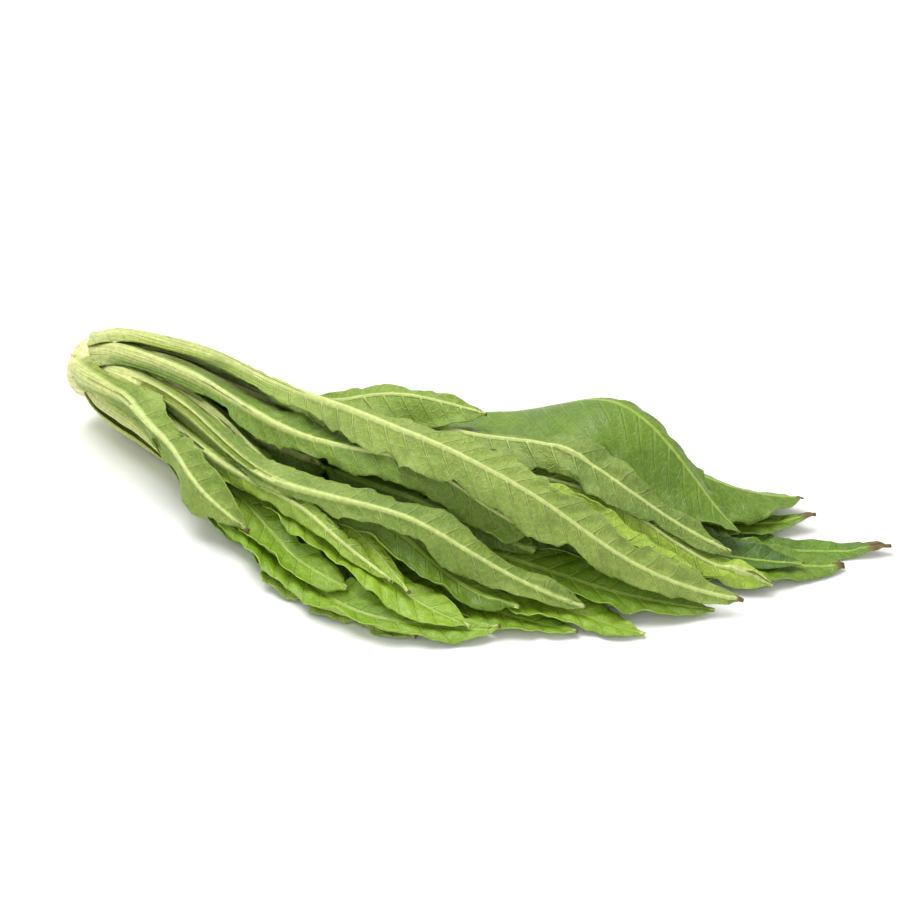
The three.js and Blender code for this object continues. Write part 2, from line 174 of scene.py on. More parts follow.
def new_material(name):
    """An empty material: its node tree and its main shader."""
    material = bpy.data.materials.new(name)
    material.use_nodes = True
    return material, material.node_tree, material.node_tree.nodes["Principled BSDF"]


def cut_stem_flesh():
    """Cream flesh with a greener pith, a browned ring, blots and a streaked skin."""
    pith_green = from_screen(226, 228, 186)
    flesh_cream = from_screen(238, 234, 198)
    dried_sap = from_screen(198, 176, 120)
    skin_green = from_screen(190, 200, 112)
    skin_cream = from_screen(230, 230, 172)
    bruise = from_screen(150, 112, 62)
    material, tree, shader = new_material("stem_flesh")
    place = place_node(tree, "ShaderNodeTexCoord").outputs["Object"]
    middle = (0.0, -BUTT.y, -(stem_low.z + stem_high.z) / 2)
    inputs = {"Vector": place, "Location": middle}
    centred = place_node(tree, "ShaderNodeMapping", inputs).outputs[0]
    parts = place_node(tree, "ShaderNodeSeparateXYZ", {"Vector": centred}).outputs
    across = place_node(tree, "ShaderNodeCombineXYZ", {"Y": parts[1], "Z": parts[2]}).outputs[0]
    length_of = place_node(tree, "ShaderNodeVectorMath", {0: across}, operation="LENGTH")
    uneven = noise(tree, place, 260.0, 4.0)
    wavy = sum_of(tree, "MULTIPLY_ADD", uneven, RING_WANDER, length_of.outputs["Value"])
    past_pith = ramp(tree, wavy, *PITH_EDGE)
    in_ring = ramp(tree, wavy, *RING_INSIDE)
    past_ring = ramp(tree, wavy, *RING_OUTSIDE)
    colour = blend_colours(tree, past_pith, pith_green, flesh_cream)
    colour = blend_colours(tree, in_ring, colour, dried_sap)
    inputs = {0: centred, 1: SKIN_STREAKS}
    drawn_out = place_node(tree, "ShaderNodeVectorMath", inputs, operation="MULTIPLY").outputs[0]
    streaks = ramp(tree, noise(tree, drawn_out, 1.0, 3.0), 0.3, 0.7)
    skin = blend_colours(tree, streaks, skin_green, skin_cream)
    colour = blend_colours(tree, past_ring, colour, skin)
    blots = ramp(tree, noise(tree, place, 620.0, 5.0), 0.56, 0.72)
    shown = sum_of(tree, "MULTIPLY", blots, 0.75)
    colour = blend_colours(tree, shown, colour, bruise)
    tree.links.new(colour, shader.inputs["Base Color"])
    tree.links.new(ramp(tree, uneven, 0.3, 0.7, 0.35, 0.6), shader.inputs["Roughness"])
    fibres = noise(tree, centred, 1500.0, 3.0)
    inputs = {"Height": fibres, "Strength": 0.5, "Distance": 0.0003}
    bump = place_node(tree, "ShaderNodeBump", inputs)
    tree.links.new(bump.outputs[0], shader.inputs["Normal"])
    return material


def cut_stem():
    """The core, turned from pairs of depth past the cut face and radius, then made uneven."""
    length = stem_high.x - stem_low.x
    radius = (stem_high.y - stem_low.y) / 2
    cut_face = [
        (0.0008, 0.0),
        (0.0007, 0.0030),
        (0.0005, 0.0060),
        (0.0007, 0.0090),
        (0.0002, 0.0112),
        (0.0001, radius - 0.0009),
    ]
    swollen_rim = [
        (0.0005, radius - 0.0001),
        (0.0016, radius + 0.0002),
        (0.0032, radius + 0.0009),
        (0.0060, radius + 0.0004),
    ]
    taper = [
        (length * 0.5, radius * 0.74),
        (length * 0.9, radius * 0.46),
        (length * 0.98, radius * 0.26),
        (length, 0.0),
    ]
    outline = cut_face + swollen_rim + taper
    core = bmesh.new()
    axis_z = (stem_low.z + stem_high.z) / 2
    points = [core.verts.new((stem_low.x + x, BUTT.y, axis_z + r)) for x, r in outline]
    edges = [core.edges.new(pair) for pair in zip(points, points[1:])]
    bmesh.ops.spin(
        core,
        geom=points + edges,
        cent=(0, BUTT.y, axis_z),
        axis=(1, 0, 0),
        angle=math.tau,
        steps=STEM_STEPS,
        use_merge=True,
    )
    bmesh.ops.remove_doubles(core, verts=core.verts, dist=1e-6)
    bmesh.ops.subdivide_edges(core, edges=core.edges, cuts=1, use_grid_fill=True)
    for point in core.verts:
        y, z = point.co.y - BUTT.y, point.co.z - axis_z
        turn = math.atan2(z, y)
        out = math.hypot(y, z)
        broad = wander(turn * 2.4 + point.co.x * 210, 3)
        fine = wander(turn * 6 + out * 900, 8)
        uneven = float(broad + fine / 2)
        share = min(1.0, out / radius)
        point.co.x += CUT_ROUGHNESS * uneven * (1 - share)
        point.co.y += y * uneven * OFF_ROUND
        point.co.z += z * uneven * OFF_ROUND
    bmesh.ops.recalc_face_normals(core, faces=core.faces)
    return core


def piece_from(name, shape, materials, node):
    """A finished piece of the head, which stands for one of the CAD's nodes."""
    mesh = bpy.data.meshes.new(name)
    shape.to_mesh(mesh)
    shape.free()
    mesh.polygons.foreach_set("use_smooth", [True] * len(mesh.polygons))
    for material in materials:
        mesh.materials.append(material)
    piece = bpy.data.objects.new(name, mesh)
    bpy.context.scene.collection.objects.link(piece)
    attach(piece, "root")
    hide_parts(node)
    return piece


piece_from("cut_stem", cut_stem(), [cut_stem_flesh()], "stem")


# The leaves: long blades that clasp the stem with a fleshy cream base, narrow to a stalk and widen.
# Each has a raised pale midrib and side veins on its matt back, and a greener, glossier face.
# They are laid from the table upwards, each bent over what already lies there.
SOLID_COLUMNS = 5  # a leaf's solid is rows of this many places, from base to tip
SOLID_MIDDLE = 2
COLUMN_STEP = 2 / (SOLID_COLUMNS - 1)  # where the near margin is at -1 and the far one at 1
WELD = 2e-5
FACING_UP = 0.02  # the least upward normal of a face on the solid's upper side


def rows_of(node):
    """A leaf's solid as rows of places from base to tip, half way through its thickness."""
    solid = bmesh.new()
    solid.from_mesh(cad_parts[node].data)
    bmesh.ops.remove_doubles(solid, verts=solid.verts, dist=WELD)
    solid.normal_update()
    upper = {face for face in solid.faces if face.normal.z > FACING_UP}
    top = {vert for face in upper for vert in face.verts}
    edges = {edge for face in upper for edge in face.edges}
    beside = {vert: set() for vert in top}
    rim = {vert: set() for vert in top}
    for edge in edges:
        a, b = edge.verts
        beside[a].add(b)
        beside[b].add(a)
        if sum(face in upper for face in edge.link_faces) == 1:
            rim[a].add(b)
            rim[b].add(a)

    def steps_from(start):
        """How many edges lie between each place of the upper side and the nearest at the start."""
        reached = {vert: 0 for vert in start}
        last_reached = list(start)
        while last_reached:
            following = []
            for vert in last_reached:
                for other in beside[vert]:
                    if other not in reached:
                        reached[other] = reached[vert] + 1
                        following.append(other)
            last_reached = following
        return reached

    base = sorted(top, key=lambda vert: vert.co.x)[:SOLID_COLUMNS]
    row = steps_from(base)
    side = [min((v for v in base if len(rim[v] & set(base)) == 1), key=lambda v: v.co.y)]
    rows = max(row.values())
    for place in range(1, rows + 1):
        side.append(next(v for v in rim[side[-1]] if row[v] == place))
    column = steps_from(side)
    places = np.zeros((rows + 1, SOLID_COLUMNS, 3))
    lower = np.array([vert.co for vert in solid.verts if vert not in top])
    for vert in top:
        nearest = lower[np.argmin(((lower[:, :2] - np.array(vert.co)[:2]) ** 2).sum(1))]
        places[row[vert], column[vert]] = (vert.co.x, vert.co.y, (vert.co.z + nearest[2]) / 2)
    solid.free()
    return places


def blend_weights(shares, count):
    """How much each of count even places weighs at shares of the way: a smooth curve through them."""
    at = np.asarray(shares) * (count - 1)
    first = np.clip(np.floor(at).astype(int), 0, count - 2)
    t = at - first
    weights = np.zeros((len(at), count))
    cubic = (
        (-0.5 * t + t * t - 0.5 * t**3),
        (1 - 2.5 * t * t + 1.5 * t**3),
        (0.5 * t + 2 * t * t - 1.5 * t**3),
        (-0.5 * t * t + 0.5 * t**3),
    )
    lines = np.arange(len(at))
    for offset, weight in zip((-1, 0, 1, 2), cubic):
        place = first + offset
        inside = (place >= 0) & (place < count)
        np.add.at(weights, (lines[inside], place[inside]), weight[inside])
        # a place past either end lies straight on from the two last ones
        for outside, end, inward in ((place < 0, 0, 1), (place >= count, count - 1, -1)):
            np.add.at(weights, (lines[outside], end), 2 * weight[outside])
            np.add.at(weights, (lines[outside], end + inward), -weight[outside])
    return weights


class Table:
    """What already lies on the table, as a height for each small square of it."""

    cell = 0.001
    low = np.array([-0.22, -0.14])
    size = (440, 280)
    border = 2  # squares along its edge that nothing reaches
    fill = 3  # how finely the space between two rows or columns is filled in

    def __init__(self):
        self.height = np.zeros(self.size)

    def squares(self, x, y):
        """The squares that places lie over."""
        at = np.rint((np.stack([x, y], -1) - self.low) / self.cell).astype(int)
        last = [count - 1 - self.border for count in self.size]
        return np.clip(at[..., 0], self.border, last[0]), np.clip(at[..., 1], self.border, last[1])

    def below(self, x, y):
        """The highest thing on or beside each place's square."""
        i, j = self.squares(x, y)
        around = [self.height[i + a, j + b] for a in (-1, 0, 1) for b in (-1, 0, 1)]
        return np.max(around, axis=0)

    def lay(self, x, y, top):
        """Adds a leaf's upper side, filled in between its rows."""
        for a in range(self.fill):
            for b in range(self.fill):
                s, t = a / self.fill, b / self.fill

                def between(v):
                    along = v[:-1] * (1 - s) + v[1:] * s
                    return along[:, :-1] * (1 - t) + along[:, 1:] * t

                i, j = self.squares(between(x), between(y))
                np.maximum.at(self.height, (i, j), between(top))


def soften(field, turns):
    """A field over the rows and columns, smoothed a number of times."""
    for _ in range(turns):
        wide = np.pad(field, 1, mode="edge")
        field = (wide[:-2, 1:-1] + 2 * wide[1:-1, 1:-1] + wide[2:, 1:-1]) / 4
        wide = np.pad(field, 1, mode="edge")
        field = (wide[1:-1, :-2] + 2 * wide[1:-1, 1:-1] + wide[1:-1, 2:]) / 4
    return field


def distances(places, axis):
    """The length run so far along rows or columns."""
    steps = np.linalg.norm(np.diff(places, axis=axis), axis=-1)
    run = np.cumsum(steps, axis=axis)
    first = np.zeros_like(np.take(run, [0], axis=axis))
    return np.concatenate([first, run], axis=axis)


def normals(places):
    """The direction that stands square on the sheet at each of its places."""
    slope = np.cross(np.gradient(places, axis=0), np.gradient(places, axis=1))
    slope /= np.maximum(np.linalg.norm(slope, axis=-1, keepdims=True), 1e-12)
    return slope


def without_teeth(coarse):
    """The solid's rows, whose even teeth are smoothed away along the blade."""
    even = coarse.copy()
    even[1:-1] = (coarse[:-2] + 2 * coarse[1:-1] + coarse[2:]) / 4
    share = np.linspace(0, 1, len(coarse))[:, None, None]
    return coarse + (even - coarse) * step(0.28, 0.4, share) * step(1.0, 0.95, share)


# the margin's shape: reaches are shares of the half width, and lengths run along the midrib
LOBE_REACH = 0.15
LOBE_LENGTH = 0.019
SMALL_LOBE_REACH = 0.08
SMALL_LOBE_LENGTH = 0.0075
TOOTH_REACH = 0.09
TOOTH_BACK = 0.03
TOOTH_LENGTH = 0.0125
NOTCH_REACH = 0.3
NOTCH_LENGTH = 0.014
BASE_WIDENING = 0.4
TIP_POINT = 0.007  # the length over which the tip comes to its point
TIP_NARROWING = 0.6
BASE_END = 0.006
BASE_END_NARROWING = 0.3


def across_solid(at, look):
    """Where each column lies across the solid: its margin has uneven lobes, teeth and torn notches."""
    lobes = LOBE_REACH * wander(at.run / LOBE_LENGTH + at.seed * 3, 11)
    lobes = lobes + SMALL_LOBE_REACH * wander(at.run / SMALL_LOBE_LENGTH + at.seed, 12)
    saw = (at.run / TOOTH_LENGTH + 0.6 * wander(at.run / 0.03 + at.seed, 13)) % 1
    teeth = TOOTH_REACH * (saw**2) - TOOTH_BACK
    torn = step(0.45, 0.75, wander(at.run / NOTCH_LENGTH + at.seed * 5, 14)) * look["torn"]
    reach = (lobes + teeth - NOTCH_REACH * torn) * step(0.24, 0.42, at.u) * step(1.0, 0.93, at.u)
    stretch = 1 + reach * step(0.45, 1.0, np.abs(at.v)) * look["teeth"]
    stretch = stretch + look["skirt"] * step(0.3, 0.6, at.u) * (at.v < 0)
    stretch = stretch + look["brim"] * step(0.3, 0.6, at.u) * (at.v > 0)
    stretch = stretch + BASE_WIDENING * step(0.14, 0.02, at.u)
    stretch = stretch + look["blunt"] * step(0.70, 0.95, at.u)
    pointed = 1 - TIP_NARROWING * step(at.length - TIP_POINT, at.length, at.run)
    pointed = pointed - BASE_END_NARROWING * step(BASE_END, 0.0, at.run)
    return at.v * stretch * pointed


def sheet_through(coarse, along, across):
    """A smooth sheet through the solid's places, and straight on past its margins."""
    inner = np.clip(across, -1, 1)
    flat = blend_weights((inner.ravel() + 1) / 2, SOLID_COLUMNS)
    flat = flat.reshape(*inner.shape, SOLID_COLUMNS)
    lines = np.einsum("nr,rck->nck", along, coarse)
    sheet = np.einsum("nmc,nck->nmk", flat, lines)
    past = (across - inner)[..., None]
    past_far = (lines[:, -1] - lines[:, -2])[:, None] / COLUMN_STEP
    past_near = (lines[:, 1] - lines[:, 0])[:, None] / COLUMN_STEP
    return sheet + past * np.where(past > 0, past_far, past_near)


VEIN_SPACING = 0.0095
VEIN_LEAN = 0.75  # how far a side vein slants forwards, and how much more towards the margin
VEIN_BEND = 14
VEIN_WANDER = 0.25
PLEAT = 0.0008  # how far the blade swells between two side veins
SLACK = 0.0012
CRUMPLE = 0.0011
RIPPLE = 0.0018
FULL_WAVES_HALF = 0.016  # a blade this wide on each side waves in full


def side_veins(at):
    """How many side veins have left the midrib so far, those of the far side half way between."""
    lean = at.run - VEIN_LEAN * np.abs(at.offset) - VEIN_BEND * at.offset**2
    veins = lean / VEIN_SPACING + np.where(at.offset > 0, 0.5, 0.0)
    return veins + VEIN_WANDER * wander(at.run / 0.03 + at.sides * 9, at.place + 21)


def waves(at, look):
    """How far the blade stands off a smooth sheet: pleats between its veins, slack and ripples."""
    body = step(0.05, 0.4, at.edge) * (1 - 0.4 * step(0.7, 1, at.edge))
    pleat = (0.5 - 0.5 * np.cos(math.tau * at.veins)) * body * PLEAT * at.free * look["pleat"]
    slack = wander(at.run / 0.045 + at.v * 0.9 + at.place * 2, 33) * SLACK
    crumple = wander(at.run / 0.017 + at.v * 2.3 + at.place * 5, 34) * CRUMPLE
    slack = slack + crumple * look["crumple"] * at.edge
    ripple = wander(at.run / 0.0075 + at.sides * 17 + at.place * 3, 32)
    ripple = ripple * at.edge**5 * RIPPLE * look["frill"]
    wide = np.clip(at.half / FULL_WAVES_HALF, 0.2, 1.3)
    return at.free * step(1.0, 0.97, at.u) * wide * (slack + ripple) - at.back_way * pleat


CURL_FROM = 0.5  # share of the half width where a margin begins to curl
FRILL_TURN = 0.95  # how far a margin turns up or down, in radians
ROLL_TURN = 1.9
LEAST_TURN = 1e-3


def curl_margins(sheet, out, at, look):
    """Turns both margins of a sheet up or down, each about a line along the blade."""
    for side in (-1, 1):
        beyond = np.nonzero(side * at.v[0] > CURL_FROM)[0][::side]
        hinge = beyond[0] - side
        reach_out = np.abs(at.offset[:, beyond] - at.offset[:, hinge : hinge + 1])
        widest = np.maximum(reach_out[:, -1:], 1e-6)
        wave = wander(at.run / 0.0155 + side * 31 + at.place * 5, 31)
        wave = wave + 0.45 * wander(at.run / 0.0068 + side, at.place + 61)
        rolled = step(0.15, 0.85, wander(at.run / 0.05 + side * 11, at.place + 71)) * look["rolled"]
        angle = FRILL_TURN * look["frill"] * wave + ROLL_TURN * rolled
        angle = at.free * step(1.0, 0.95, at.u) * angle
        bend = np.where(np.abs(angle) < LEAST_TURN, LEAST_TURN, angle) / widest
        outward = sheet[:, hinge] - sheet[:, hinge - side]
        outward = (outward / np.linalg.norm(outward, axis=-1, keepdims=True))[:, None]
        upward = out[:, hinge][:, None]
        along_by = (np.sin(bend * reach_out) / bend - reach_out)[..., None]
        up_by = ((1 - np.cos(bend * reach_out)) / bend)[..., None]
        sheet[:, beyond] += outward * along_by + upward * up_by


HALF_TURN_OVER = 0.07  # share of the length on each side of the twist, over which a leaf turns
TWIST_NARROWING = 0.5


def fold_and_turn(sheet, at, look):
    """Folds both halves away from the midrib and turns a twisted leaf over half way along."""
    spine = sheet[:, MIDDLE]
    forward = np.gradient(spine, axis=0)
    forward /= np.linalg.norm(forward, axis=-1, keepdims=True)
    sideways = sheet[:, MIDDLE + 1] - sheet[:, MIDDLE - 1]
    sideways -= forward * (sideways * forward).sum(-1, keepdims=True)
    sideways /= np.linalg.norm(sideways, axis=-1, keepdims=True)
    lifted = np.cross(forward, sideways)
    arm = sheet - spine[:, None]
    flat_part, high_part, long_part = (
        (arm * axis[:, None]).sum(-1) for axis in (sideways, lifted, forward)
    )
    keel = look["keel"] * (0.3 + 0.7 * step(0.7, 0.35, at.u)) * step(0.05, 0.18, at.u)
    keel = keel * at.back_way * (1.0 if look["over"] else 0.5)
    high_part = high_part - (np.abs(flat_part) - 0.3 * at.half) * np.sin(keel)
    flat_part = flat_part * np.cos(keel)
    turn = math.pi * step(look["twist"] - HALF_TURN_OVER, look["twist"] + HALF_TURN_OVER, at.u)
    narrow = 1 - TWIST_NARROWING * np.sin(turn)
    high_part = high_part + flat_part * np.sin(turn) * narrow
    flat_part = flat_part * np.cos(turn) * narrow
    parts = ((sideways, flat_part), (lifted, high_part), (forward, long_part))
    turned = spine[:, None] + sum(axis[:, None] * part[..., None] for axis, part in parts)
    return turned, at.back_way * np.cos(turn)


DRIED_CURL = 0.0012
BASE_CLOSING = 0.15  # how much nearer the stem's axis a base's end lies
CLOSED_WITHIN = 0.016


def finish_ends(sheet, at, look):
    """Hooks the tip, sinks the blade, curls a dried end and closes the base on the stem's skin."""
    tip = step(look["hook_from"], 1.0, at.u)
    sheet[..., 2] += tip**2 * look["hook"]
    sheet[..., 2] -= look["sink"] * np.sin(math.pi * step(0.3, 1.0, at.u))
    curl = wander(at.run / 0.004 + at.place, 41) * DRIED_CURL
    curl = curl * (at.to_tip < look["dry"]) * step(0, 0.004, at.to_tip)
    sheet[..., 2] += np.abs(curl)
    stem_axis = np.array([BUTT.y, (stem_low.z + stem_high.z) / 2])
    closing = 1 - BASE_CLOSING * step(CLOSED_WITHIN, 0.0, at.run)[..., None]
    sheet[..., 1:] = stem_axis + (sheet[..., 1:] - stem_axis) * closing


BLADE = 0.0006  # thickness
MARGIN_BLADE = 0.00035
BASE_THICKENING = 0.9
RIB_RISE_AT_BASE = 0.0022
RIB_RISE_AT_TIP = 0.0003
RIB_HALF_AT_BASE = 0.0052
RIB_HALF_AT_TIP = 0.0005
FAN_FROM = 0.060  # from the cut face: the leaves lie freely past this
FAN_TO = 0.105
STEEPEST = 0.35  # the least upward normal that the height of a thickness is worked out with
GAP = 0.00015  # between a leaf and what it lies on
MOST_LIFT = 0.006
SMALL_LIFT = 5e-5
LAYING_TURNS = 4


def wall_of(at):
    """How thick the leaf is at each place, and how much of that is its raised midrib."""
    slimming = (1 - at.u) ** 2.2
    rib_half = RIB_HALF_AT_TIP + (RIB_HALF_AT_BASE - RIB_HALF_AT_TIP) * slimming
    rib_half = np.minimum(rib_half, 0.55 * at.half)
    hump = np.clip(1 - (at.offset / rib_half) ** 2, 0, 1)
    rise = RIB_RISE_AT_TIP + (RIB_RISE_AT_BASE - RIB_RISE_AT_TIP) * (1 - at.u) ** 1.3
    wall = MARGIN_BLADE + (BLADE - MARGIN_BLADE) * step(1.0, 0.8, at.edge)
    return wall * (1 + BASE_THICKENING * step(0.16, 0.0, at.u)) + rise * hump, rise * hump


def lay_down(sheet, rib, back_up, table):
    """Lifts a leaf until it clears what already lies on the table, and adds it to that."""
    start = step(FAN_FROM, FAN_TO, sheet[..., 0] - stem_low.x)
    upright = np.maximum(np.abs(normals(sheet)[..., 2]), STEEPEST)
    half_blade = BLADE / 2 / upright
    above = half_blade + rib / upright * (back_up > 0)
    beneath = half_blade + rib / upright * (back_up <= 0)
    for _ in range(LAYING_TURNS):
        floor = table.below(sheet[..., 0], sheet[..., 1])
        short = (floor + GAP + beneath - sheet[..., 2]) * start * (floor > 0)
        short = np.clip(short, 0, MOST_LIFT)
        if short.max() < SMALL_LIFT:
            break
        wide_lift = np.maximum(short, soften(short, 2))
        sheet[..., 2] += np.maximum(soften(wide_lift, 3), short * 0.6)
    sheet[..., 2] = np.maximum(sheet[..., 2], beneath)
    table.lay(sheet[..., 0], sheet[..., 1], (sheet[..., 2] + above) * (start > 0.02))


def dried_parts(at, look):
    """How dried each place is: the whole of a dried end, and a few spots at the margin."""
    uneven = at.to_tip + wander(at.run / 0.003 + at.v, 42) * 0.0012
    dried = step(look["dry"] * 1.3, look["dry"] * 0.2, uneven)
    spots = step(0.72, 0.9, wander(at.run / 0.011 + at.seed * 4, 43)) * step(0.86, 1.0, at.edge)
    return np.maximum(dried, 0.75 * spots * look["worn"]) * np.ones_like(at.edge)


ROW_PITCH = 0.0017  # between the rows of a fine leaf
LEAST_ROWS = 60
COLUMNS = 36  # across a fine leaf, closer together near its midrib
COLUMN_CROWDING = 1.35
MIDDLE = COLUMNS // 2
FREE_FROM = (0.26, 0.5)  # shares of the length over which a stalk becomes a freely waving blade


def fine_leaf(node, place, look, table):
    """One leaf's sheet in detail: its places, and what its material and wall need to know."""
    coarse = without_teeth(rows_of(node))
    spine_run = distances(coarse[:, SOLID_MIDDLE : SOLID_MIDDLE + 1], 0)[:, 0]
    crowd = np.linspace(-1, 1, COLUMNS + 1)
    at = SimpleNamespace(place=place, length=spine_run[-1])
    at.u = np.linspace(0, 1, max(LEAST_ROWS, round(at.length / ROW_PITCH)))[:, None]
    at.v = (np.sign(crowd) * np.abs(crowd) ** COLUMN_CROWDING)[None, :]
    along = blend_weights(at.u[:, 0], len(coarse))
    at.run = (along @ spine_run)[:, None]
    at.to_tip = at.length - at.run
    at.sides = np.sign(at.v)
    at.seed = place * 7.0 + at.sides * 2.5
    sheet = sheet_through(coarse, along, across_solid(at, look))

    width = distances(sheet, 1)
    at.offset = width - width[:, MIDDLE : MIDDLE + 1]
    at.half = np.maximum(at.offset[:, -1:], -at.offset[:, :1])
    at.edge = np.abs(at.v) * np.ones_like(at.run)
    at.free = step(*FREE_FROM, at.u)
    at.back_way = 1.0 if look["over"] else -1.0  # upwards where the leaf shows its back
    at.veins = side_veins(at)

    out = normals(sheet)
    sheet = sheet + out * waves(at, look)[..., None]
    curl_margins(sheet, out, at, look)
    sheet, back_up = fold_and_turn(sheet, at, look)
    finish_ends(sheet, at, look)
    wall, rib = wall_of(at)
    lay_down(sheet, rib, back_up, table)
    # the sheet that is kept is the face, and the wall grows from it towards the back
    sheet = sheet - normals(sheet) * at.back_way * (BLADE / 2)
    return {
        "places": sheet,
        "wall": wall,
        "veins": np.stack([at.run + 0 * at.offset, at.offset, at.veins], -1),
        "leaf": np.stack([at.u + 0 * at.edge, at.edge, dried_parts(at, look)], -1),
        "tone": np.full(at.edge.shape, look["tone"]),
        "fresh": np.full(at.edge.shape, look["fresh"]),
    }


def leaf_sheet(details, over):
    """The leaf as a grid whose places are moved to where they belong, its face outwards."""
    rows, columns = details["places"].shape[:2]
    sheet = bmesh.new()
    bmesh.ops.create_grid(sheet, x_segments=rows - 1, y_segments=columns - 1, size=1.0)
    corners = np.array([vert.co for vert in sheet.verts])
    i = np.rint((corners[:, 0] + 1) / 2 * (rows - 1)).astype(int)
    j = np.rint((corners[:, 1] + 1) / 2 * (columns - 1)).astype(int)
    for vert, place in zip(sheet.verts, details["places"][i, j]):
        vert.co = place
    if over:
        bmesh.ops.reverse_faces(sheet, faces=sheet.faces)
    return sheet, i, j


RIB_SKIN_HALF = 0.0042  # half the width of the midrib's pale skin at the base, past that at the tip
RIB_SKIN_HALF_AT_TIP = 0.0009
VEIN_WIDTHS = (0.00075, 0.00025)  # a side vein at the midrib and at the margin
NET_SCALE = 330.0
FINE_NET_SCALE = 900.0
NET_BENDING = 0.0016
FIBRE_SCALES = (22.0, 1500.0, 1.0)  # a stalk's fibres, drawn out along it


def vein_group():
    """What a leaf's veins look like on both of its sides: masks for midrib, side veins and net."""
    group = bpy.data.node_groups.new("leaf_veins", "ShaderNodeTree")
    for name in ("Midrib", "Side veins", "Net", "Stalk lines", "Height"):
        group.interface.new_socket(name, in_out="OUTPUT", socket_type="NodeSocketFloat")
    vein = place_node(group, "ShaderNodeAttribute", attribute_name="veins").outputs["Vector"]
    leaf = place_node(group, "ShaderNodeAttribute", attribute_name="leaf").outputs["Vector"]
    run, offset, count = place_node(group, "ShaderNodeSeparateXYZ", {"Vector": vein}).outputs
    share, edge, _ = place_node(group, "ShaderNodeSeparateXYZ", {"Vector": leaf}).outputs

    away = sum_of(group, "ABSOLUTE", offset)
    slimming = sum_of(group, "POWER", sum_of(group, "SUBTRACT", 1.0, share), 2.2)
    rib_half = sum_of(group, "MULTIPLY_ADD", slimming, RIB_SKIN_HALF, RIB_SKIN_HALF_AT_TIP)
    midrib = ramp(group, sum_of(group, "DIVIDE", away, rib_half), 0.65, 1.35, 1.0, 0.0)

    nearest = sum_of(group, "ROUND", count)
    off = sum_of(group, "ABSOLUTE", sum_of(group, "SUBTRACT", count, nearest))
    off = sum_of(group, "MULTIPLY", off, VEIN_SPACING)
    vein_width = ramp(group, edge, 0.0, 1.0, *VEIN_WIDTHS)
    side = ramp(group, sum_of(group, "DIVIDE", off, vein_width), 0.5, 1.5, 1.0, 0.0)

    flat = place_node(group, "ShaderNodeCombineXYZ", {"X": run, "Y": offset}).outputs[0]
    inputs = {"Vector": flat, "Scale": 300.0}
    wavy = place_node(group, "ShaderNodeTexNoise", inputs).outputs["Color"]
    inputs = {0: wavy, 1: (NET_BENDING,) * 3, 2: flat}
    bent = place_node(group, "ShaderNodeVectorMath", inputs, operation="MULTIPLY_ADD").outputs[0]
    cells = {"feature": "DISTANCE_TO_EDGE", "voronoi_dimensions": "2D"}
    inputs = {"Vector": bent, "Scale": NET_SCALE}
    net = place_node(group, "ShaderNodeTexVoronoi", inputs, **cells).outputs[0]
    net = ramp(group, net, 0.02, 0.16, 1.0, 0.0)
    inputs = {"Vector": bent, "Scale": FINE_NET_SCALE}
    fine_net = place_node(group, "ShaderNodeTexVoronoi", inputs, **cells).outputs[0]
    fine_net = ramp(group, fine_net, 0.02, 0.2, 0.45, 0.0)
    net = sum_of(group, "MAXIMUM", net, fine_net)

    inputs = {0: flat, 1: FIBRE_SCALES}
    drawn_out = place_node(group, "ShaderNodeVectorMath", inputs, operation="MULTIPLY").outputs[0]
    fibres = ramp(group, noise(group, drawn_out, 1.0, 2.0), 0.35, 0.65)
    lines = sum_of(group, "MULTIPLY", fibres, ramp(group, share, 0.2, 0.5, 1.0, 0.0))
    height = sum_of(group, "MAXIMUM", sum_of(group, "MULTIPLY", net, 0.3), side)
    height = sum_of(group, "MAXIMUM", height, midrib)
    height = sum_of(group, "MULTIPLY_ADD", lines, 0.8, height)
    out = place_node(group, "NodeGroupOutput")
    shown = {"Midrib": midrib, "Side veins": side, "Net": net, "Stalk lines": lines, "Height": height}
    for name, socket in shown.items():
        group.links.new(socket, out.inputs[name])
    return group


VEINS = vein_group()
RIB_AT_BASE = from_screen(208, 216, 132)
CREAM_BASE = from_screen(214, 220, 142)
PALE_MARGIN = from_screen(196, 214, 120)
DRIED_DARK = from_screen(58, 44, 22)
DRIED_PALE = from_screen(142, 120, 70)


